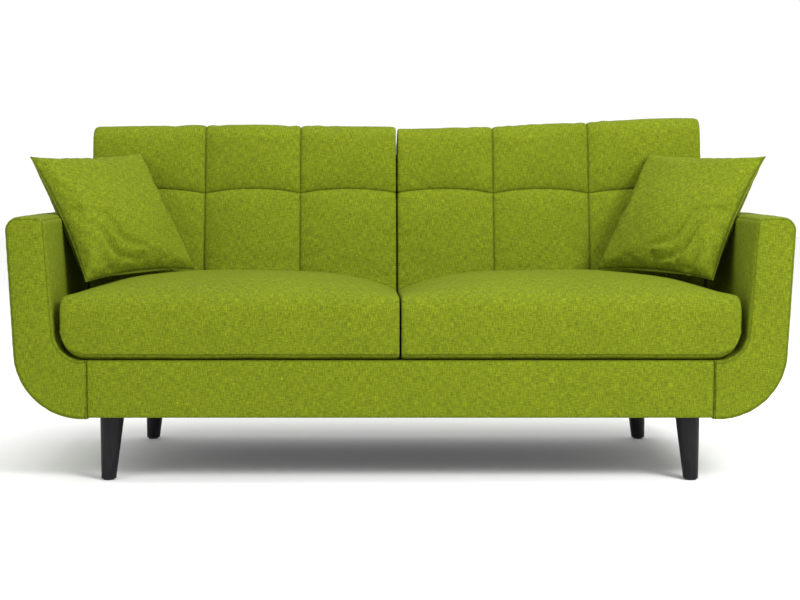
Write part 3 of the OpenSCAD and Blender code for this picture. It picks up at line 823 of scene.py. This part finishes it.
def back_cushion(side, seed):
    x0, x1 = BACK_LO[0] + INNER_END, BACK_HI[0]
    na, nb, seam_row = 10, 38, 26
    xs = stations_with(x0, x1, QUILT_X)
    loops = [inset_loop(back_loop(x, x0, x1, side, na, nb, seam_row), edge_inset(x, x0, x1)) for x in xs]
    band = as_band(loops, xs, side)
    seams = [int(np.argmin(np.abs(xs - q))) for q in QUILT_X]
    pins = np.zeros(band.shape[:2])
    pins[[0, -1]] = 1
    pins[:, :na + 1] = 1
    pins[:, 2 * na + nb:] = 1
    pins[:, na + seam_row] = 1
    for s in seams:
        pins[s, na:2 * na + nb] = 1

    def over_front(pv):
        """1 on the front and most of the top, where the upright seams run."""
        return smooth((pv - na - 0.2) / 0.8) * (1 - smooth((pv - na - nb - 0.75 * na) / 1.0))

    body = SIDE_WORD[side] + "_back_cushion"
    obj = cushion(body + "_pad", band, na, nb, pins, tuple(float(s) for s in seams),
                  (float(seam_row),), seed, LIME_CLOTH, 0.32, over_front)
    finish_soft(obj, body, [body + "_cover", body + "_core"])
    return obj


# ------------------------------------------------------------------ throw pillows

# Room for the zips between a seat cushion's rear face and the back cushion.
ZIP_ROOM = 0.0026

PILLOW_CUT = 0.187
PILLOW_WAIST = 0.075
PILLOW_THICK = 0.067
PILLOW_CELLS = 30
PILLOW_FINER = 4
PILLOW_CAP = 0.03
CREASE_MOST = 0.006
# Rows beside the hem, in cells from the edge.
HEM_ROWS = (0.10, 0.33, 0.42)
# Place, half length and depth of the folds that run in from the corner by the arm.
FOLDS = ((0.36, 0.60, 0.0120), (0.53, 0.45, 0.0160), (0.70, 0.32, 0.0130))
FOLD_WIDTH = 0.0075
# Centre, turn in degrees and noise seed of the pillow on each side.
PILLOWS = {
    -1: ((-0.741, -0.062, 0.647), (-33, -2, 49), 31.0),
    1: ((0.735, -0.064, 0.648), (-34, 1.5, -47), 47.0),
}


def pillow_faces(front, back, b, seam=0.0):
    """Adds two square grids that share their edge."""
    n = front.shape[0]
    fi = b.add(front)
    bi = fi.copy()
    bi[1:-1, 1:-1] = b.add(back[1:-1, 1:-1])
    b.painted_seam_shade(fi, seam)
    b.painted_seam_shade(bi, seam)
    span = np.linspace(0, 2 * PILLOW_CUT, n)
    uv = np.stack(np.meshgrid(span, span, indexing="ij"), axis=2)
    b.quads(fi, uv)
    b.quads(bi, uv + 0.7, flip=True)


def throw_pillow(side):
    centre, turn, seed = PILLOWS[side]
    body = SIDE_WORD[side] + "_pillow"
    n = PILLOW_CELLS + 1
    g = np.linspace(-1, 1, n)
    uu, vv = np.meshgrid(g, g, indexing="ij")
    lens = PILLOW_THICK * ((1 - uu ** 2) * (1 - vv ** 2)) ** 0.56
    x = uu * PILLOW_CUT * (1 - PILLOW_WAIST * (1 - vv ** 2))
    z = vv * PILLOW_CUT * (1 - PILLOW_WAIST * (1 - uu ** 2))
    form = [np.stack([x, sign * lens, z], 2) for sign in (-1, 1)]
    b = Builder()
    pillow_faces(form[0], form[1], b)
    cage = b.build(body + "_cage", None)
    outward(cage)
    pts = inflate(cage, np.zeros(len(b.verts)), PILLOW_CAP, pressure=3.0, slack=0.03)
    swollen = [pts[:n * n].reshape(n, n, 3)]
    swollen.append(swollen[0].copy())
    swollen[1][1:-1, 1:-1] = pts[n * n:].reshape(n - 2, n - 2, 3)

    rows = np.linspace(0, PILLOW_CELLS, PILLOW_CELLS * PILLOW_FINER + 1)
    fine = np.unique(np.r_[rows, HEM_ROWS, [PILLOW_CELLS - h for h in HEM_ROWS]])
    p = fine / PILLOW_CELLS * 2 - 1
    pu, pv = np.meshgrid(p, p, indexing="ij")
    to_edge = np.minimum(1 - np.abs(pu), 1 - np.abs(pv)) * PILLOW_CUT
    run = np.where(1 - np.abs(pu) < 1 - np.abs(pv), pv, pu) * PILLOW_CUT
    inner = smooth(to_edge / 0.02)
    inside = smooth(np.minimum(1 - np.abs(uu), 1 - np.abs(vv)) / 0.12)[..., None]
    pa = pu * side
    sides = []
    for k, sign in ((0, -1), (1, 1)):
        shift = swollen[k] - form[k]
        crease = np.clip(shift - blurred(shift, 8, closed=False), -CREASE_MOST, CREASE_MOST)
        dense = catmull(form[k] + crease * inside, fine, closed=False)
        dense = np.swapaxes(catmull(np.swapaxes(dense, 0, 1), fine, closed=False), 0, 1)
        lump = 0.0030 * ripple(dense, 8.0, seed + k) + 0.0010 * ripple(dense, 24.0, seed + k + 2)
        gather = 0.0026 * gathers(run, 60, seed + k) * np.exp(-to_edge / 0.028) * smooth(to_edge / 0.008)
        dense[..., 1] += sign * (lump * inner + gather)
        for across, reach, deep in FOLDS:
            fold = ((pa - pv) / 2 - across + 0.05 * np.sin(5 * (pa + pv))) * PILLOW_CUT
            dense[..., 1] -= (sign * deep * inner * seam_field(fold, FOLD_WIDTH)
                              * seam_field(pa + pv + 0.25, reach))
        sides.append(dense)
    edge = (sides[0] + sides[1]) / 2
    for grid in sides:
        for row in (0, -1):
            grid[row], grid[:, row] = edge[row], edge[:, row]
    # Painted shade: a dark line just inside the pillow's edge, for the shade at its hem.
    hem_shade = seam_field(np.abs(to_edge - 0.004), 0.0018)
    spin = np.array(Euler([math.radians(a) for a in turn], "XYZ").to_matrix())
    placed = [grid @ spin.T + np.array(centre) for grid in sides]
    b = Builder()
    pillow_faces(placed[0], placed[1], b, 0.6 * hem_shade)
    obj = b.build(body + "_pad", LIME_CLOTH)
    outward(obj)
    finish_soft(obj, body, [body + "_cover", body + "_insert"])
    return obj


# ------------------------------------------------------------------ arms


# How far the loops next to an arm's front and rear are drawn in, and how far in they lie.
ARM_EDGE = ((0.0052, 0.0), (0.0026, 0.0014), (0.0010, 0.0030), (0.0, 0.0060))
ARM_LOOPS = 72
ARM_SEAM_IN = 0.080
ARM_OUTER_R, ARM_INNER_R = 0.028, 0.016


def arm_outline(na, nb):
    """The arm's J section on the right: outer face, top, inner face, seam end."""
    out_x, top_z = ARM_HI[0], ARM_HI[2]
    bottom_z = ARM_LO[2]
    bend_x = out_x - ARM_FLARE
    in_top = out_x - ARM_THICK
    in_low = in_top - ARM_LEAN_IN
    seam_x = in_low - ARM_SEAM_IN
    out_r, in_r = ARM_OUTER_R, ARM_INNER_R
    corner = arc((out_x - out_r, top_z - out_r), out_r, 0, 90, 9)
    inside = arc((in_top + in_r, top_z - in_r), in_r, 90, 180, 9)
    outer = np.vstack([[[seam_x, bottom_z]], arc((bend_x - SWEEP_R, bottom_z + SWEEP_R), SWEEP_R, -90, 0, 24),
                       corner[:5]])
    top = np.vstack([corner[4:], inside[:5]])
    span = (top[:, 0] - top[-1, 0]) / (top[0, 0] - top[-1, 0])
    top[:, 1] += 0.005 * (1 - (2 * span - 1) ** 2)
    inner = np.vstack([inside[4:], arc((in_low - INNER_R, DECK_Z + INNER_R), INNER_R, 0, -90, 14),
                       [[seam_x, DECK_Z]]])
    end = np.array([[seam_x, DECK_Z], [seam_x, bottom_z]])
    return divided((outer, top, inner, end), (na, nb, na, nb))


def sofa_arm(side, seed):
    na, nb = 150, 22
    loop = arm_outline(na, nb)
    y0 = ARM_LO[1] + 0.0015
    last = ARM_EDGE[-1][1]

    def section(amount, depth):
        """The outline drawn in by an amount, at a depth that depends on the rear's."""
        shape = inset_loop(loop, amount)
        y = depth(rear_plane(shape[:, 1])) * np.ones(len(shape))
        return np.c_[side * shape[:, 0], y, shape[:, 1]]

    band = [section(amount, lambda rear: y0 + gap) for amount, gap in ARM_EDGE]
    for f in np.arange(1, ARM_LOOPS + 1) / (ARM_LOOPS + 1):
        band.append(section(0.0, lambda rear: (y0 + last) * (1 - f) + (rear - last) * f))
    band += [section(amount, lambda rear: rear - gap) for amount, gap in ARM_EDGE[::-1]]
    band = np.array(band)
    ring = run_of(loop)
    moved = 0.0012 * ripple(band, 6.0, seed) + 0.0005 * ripple(band, 30.0, seed + 3)
    # The J bends round a hollow, so its normals come from the outline's own direction.
    sections = inset_loop(loop, -0.001) - loop
    lead = unit(np.c_[side * sections[:, 0], np.zeros(len(loop)), sections[:, 1]])
    y_run = np.abs(band[..., 1] - band[:1, :, 1])
    wave = gathers(ring[None], 60, seed)
    rear_run = np.abs(band[-1:, :, 1] - band[..., 1])
    edge = np.minimum(y_run, rear_run)
    moved = moved * smooth(edge / 0.02) + 0.0012 * wave * np.exp(-edge / 0.02) * smooth(edge / 0.004)
    place = np.arange(len(loop))
    inner_seam = np.abs(ring - ring[na + nb])
    moved = moved - 0.0016 * seam_field(inner_seam, SEAM_WIDTH)[None, :]
    # Painted shade: dark lines along the arm's front and rear edges and its inner seam, for the shade where
    # the panels turn.
    painted_seam_shade = 0.42 * seam_field(np.minimum(edge, inner_seam[None, :]), SEAM_SHADE_WIDTH)
    puff = np.exp(-((place - (na + nb + 0.42 * na)) / (0.30 * na)) ** 2)
    moved = moved + 0.0035 * puff[None, :] * smooth(edge / 0.10)
    tight = (place > 2 * na + nb - 1) | (place < 2)
    moved = np.where(tight[None, :], 0.0, moved)
    band = band + lead * moved[..., None]
    ends = []
    for row, way in ((0, -1), (-1, 1)):
        patch = coons(band[row], na, nb)
        patch += patch_bulge(na, nb, 4) * np.array([0, way * 0.0035, 0])
        patch[1:-1, 1:-1, 1] += 0.0008 * ripple(patch[1:-1, 1:-1], 14.0, seed + row)
        ends.append(patch)
    name = SIDE_WORD[side] + "_arm"
    obj = closed_form(name + "_upholstery", band, na, nb, ends, LIME_CLOTH, axes=(0, 2), seam=painted_seam_shade)
    finish_soft(obj, "frame", [name + "_cover"])
    return obj


# ------------------------------------------------------------------ frame covers


def rail_cover(seed):
    """The front rail's cover: a padded strip folded over the rail's top and bottom."""
    y0, top_z, low_z = RAIL_LO[1], RAIL_HI[2], RAIL_LO[2]
    r = 0.007
    outer = np.vstack([[[y0 + 0.032, low_z]], arc((y0 + r, low_z + r), r, 270, 180, 6),
                       arc((y0 + r, top_z - r), r, 180, 90, 6), [[y0 + 0.072, top_z]]])
    inner = np.array([[y0 + 0.072, top_z - 0.0095], [y0 + 0.0084, top_z - 0.0095],
                      [y0 + 0.0084, low_z + 0.0012], [y0 + 0.032, low_z + 0.0012]])
    na, nb = 40, 2
    loop = divided((outer, [outer[-1], inner[0]], inner, [inner[-1], outer[0]]), (na, nb, na, nb))
    xs = np.linspace(RAIL_LO[0], RAIL_HI[0], 150)
    xs = np.r_[xs[0], xs[0] + 0.0015, xs[0] + 0.004, xs[1:-1], xs[-1] - 0.004, xs[-1] - 0.0015, xs[-1]]
    band = as_band([loop] * len(xs), xs, 1)
    face = np.zeros(len(loop))
    face[2:na - 1] = 1
    height = (loop[:, 1] - low_z) / (top_z - low_z)
    puff = 0.0022 * (1 - (2 * np.clip(height, 0, 1) - 1) ** 2)
    tug = 0.0010 * ripple(band, 9.0, seed) + 0.0004 * ripple(band, 34.0, seed + 2)
    ends = np.minimum(xs - xs[0], xs[-1] - xs)
    tug = (tug + puff) * smooth(ends / 0.012)[:, None]
    front = (loop[:, 0] < y0 + 0.006) * face
    band[..., 1] -= tug * front
    patches = [coons(band[row], na, nb) for row in (0, -1)]
    # Painted shade: dark lines at the rail's two ends, for the shade where it meets the arms.
    obj = closed_form("front_rail_upholstery", band, na, nb, patches, LIME_CLOTH,
                      seam=0.8 * seam_field(ends, SEAM_SHADE_WIDTH)[:, None])
    finish_soft(obj, "frame", ["front_rail_cover"])
    return obj


def back_side(z_low, low_half):
    """Right-hand edge of the back's outline, from z_low to half-way round its top corner."""
    in_low = ARM_HI[0] - ARM_THICK - ARM_LEAN_IN
    centre = (in_low - INNER_R, DECK_Z + INNER_R)
    top_x, top_r = FRAME_HI[0], 0.022
    bend = arc(centre, INNER_R - 0.0015, -84, 0, 12)
    corner = arc((top_x - top_r, FRAME_HI[2] - top_r), top_r, 0, 45, 5)
    start = [[low_half, z_low]] + ([[low_half, DECK_Z - 0.002]] if z_low < DECK_Z - 0.01 else [])
    return np.vstack([start, bend, corner])


def back_panel(name, z_low, low_half, front_of, rear_of, depths, insets, nodes, seed, bulges):
    """A padded back panel: the back's outline swept between two leaning planes."""
    na, nb = 120, 40
    right = back_side(z_low, low_half)
    left = right[::-1] * (-1, 1)
    low = np.array([left[-1], right[0]])
    flat_half = right[-1, 0] - 0.0066
    top = np.array([right[-1], [flat_half, FRAME_HI[2]], [-flat_half, FRAME_HI[2]], left[0]])
    loop = divided((low, right, top, left), (na, nb, na, nb))
    band = []
    for f, amount in zip(depths, insets):
        shape = inset_loop(loop, amount)
        near, far = front_of(shape[:, 1]), rear_of(shape[:, 1])
        band.append(np.c_[shape[:, 0], near + f * (far - near), shape[:, 1]])
    band = np.array(band)
    ends = []
    for row, bulge in ((0, -bulges[0]), (-1, bulges[1])):
        patch = coons(band[row], na, nb)
        patch += patch_bulge(na, nb, 8) * np.array([0, bulge, 0])
        lumps = 0.0009 * ripple(patch, 5.0, seed + row) + 0.0004 * ripple(patch, 26.0, seed + row + 7)
        patch[..., 1] += lumps * patch_bulge(na, nb, 12)[..., 0] * np.sign(bulge)
        ends.append(patch)
    obj = closed_form(name, band, na, nb, ends, LIME_CLOTH, axes=(0, 2))
    finish_soft(obj, "frame", nodes)
    return obj


def inside_back(seed):
    """The padded back behind the cushions, rounded at its front edge."""
    depths = [0.0, 0.006, 0.02, 0.05, *np.linspace(0.12, 0.94, 9), 0.985, 1.0]
    insets = [0.010, 0.005, 0.0015] + [0.0] * (len(depths) - 3)
    return back_panel("inside_back_upholstery", FRAME_LO[2], 0.757,
                      lambda z: cushion_plane(z) + 0.1592, lambda z: rear_plane(z) - 0.0045,
                      depths, insets, ["inside_back_cover"], seed, (0.0005, 0.0005))


def outside_back(seed):
    return back_panel("outside_back_upholstery", OUTER_LO[2], 0.7568,
                      lambda z: rear_plane(z) - 0.0038, rear_plane,
                      [0.0, 0.5, 0.85, 1.0], [0.0, 0.0, 0.0012, 0.0035], ["outside_back_cover"],
                      seed, (0.0001, 0.0032))


def deck(seed):
    """The deck cloth under the cushions, drawn down a little along its middle."""
    na, nb = 50, 2
    y0, y1 = DECK_LO[1], DECK_HI[1]
    z0, z1 = DECK_LO[2], DECK_HI[2]
    around = [[y1, z0], [y0, z0], [y0, z1], [y1, z1], [y1, z0]]
    loop = divided([around[k:k + 2] for k in range(4)], (na, nb, na, nb))
    xs = np.linspace(DECK_LO[0], DECK_HI[0], 140)
    band = as_band([loop] * len(xs), xs, 1)
    top = loop[:, 1] > z1 - 1e-6
    band[..., 2] -= 0.0004 * (1 + ripple(band, 8.0, seed)) * top
    patches = [coons(band[row], na, nb) for row in (0, -1)]
    obj = closed_form("seat_deck_cloth", band, na, nb, patches, FINISHES["deck_fabric"])
    finish_soft(obj, "frame", ["deck_cover"])
    return obj


# ------------------------------------------------------------------ the sofa

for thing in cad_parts.values():
    for socket in thing.material_slots:
        if socket.material and socket.material.name in FINISHES:
            socket.material = FINISHES[socket.material.name]

front_rail = rail_cover(51.0)
for side, seed in ((-1, 11.0), (1, 23.0)):
    arm = sofa_arm(side, seed + 8)
    seat = seat_cushion(side, seed)
    back = back_cushion(side, seed + 4)
    pillow = throw_pillow(side)
    press_clear(seat, arm, front_rail)
    press_clear(back, seat, gap=ZIP_ROOM)
    press_clear(back, arm)
    press_clear(pillow, arm, seat, back)
inside_back(57.0)
outside_back(61.0)
deck(67.0)

# ------------------------------------------------------------------ floor, light and camera


def area_light(name, place, target, size, power):
    data = bpy.data.lights.new(name, "AREA")
    data.shape = "RECTANGLE"
    data.size, data.size_y = size
    data.energy = power
    lamp = bpy.data.objects.new(name, data)
    bpy.context.scene.collection.objects.link(lamp)
    lamp.location = place
    lamp.rotation_euler = (Vector(target) - Vector(place)).to_track_quat("-Z", "Y").to_euler()


FLOOR = 14.0
FLOOR_CORNERS = [(a * FLOOR, b * FLOOR, 0) for a, b in ((-1, -1), (1, -1), (1, 1), (-1, 1))]
floor = new_mesh("studio_floor", FLOOR_CORNERS, [(0, 1, 2, 3)])
floor_mat, floor_tree, floor_bsdf = shader("pale_floor")
floor_bsdf.inputs["Base Color"].default_value = (0.90, 0.90, 0.90, 1)
floor_bsdf.inputs["Roughness"].default_value = 0.9
floor.data.materials.append(floor_mat)

world = bpy.data.worlds.new("soft_white")
world.use_nodes = True
world.node_tree.nodes["Background"].inputs["Color"].default_value = (1, 1, 1, 1)
world.node_tree.nodes["Background"].inputs["Strength"].default_value = 1.02
bpy.context.scene.world = world
bpy.context.scene.view_settings.view_transform = "Standard"

area_light("key", (2.4, -3.0, 2.9), (0.2, 0, 0.45), (1.6, 1.2), 190)
area_light("fill", (-2.6, -3.0, 2.0), (0, 0, 0.45), (2.2, 1.8), 30)
area_light("top", (0, -0.3, 3.4), (0, 0, 0.4), (2.6, 1.6), 66)

CAMERA_AT = (-0.076, -4.34, 0.767)
CAMERA_DOWN = 4.6
CAMERA_LENS = 73.6
CAMERA_SHIFT = 0.03875
lens = bpy.data.cameras.new("camera")
lens.sensor_width = 36
lens.lens = CAMERA_LENS
lens.shift_x = CAMERA_SHIFT
camera = bpy.data.objects.new("camera", lens)
bpy.context.scene.collection.objects.link(camera)
camera.location = CAMERA_AT
camera.rotation_euler = (math.radians(90 - CAMERA_DOWN), 0, 0)
bpy.context.scene.camera = camera
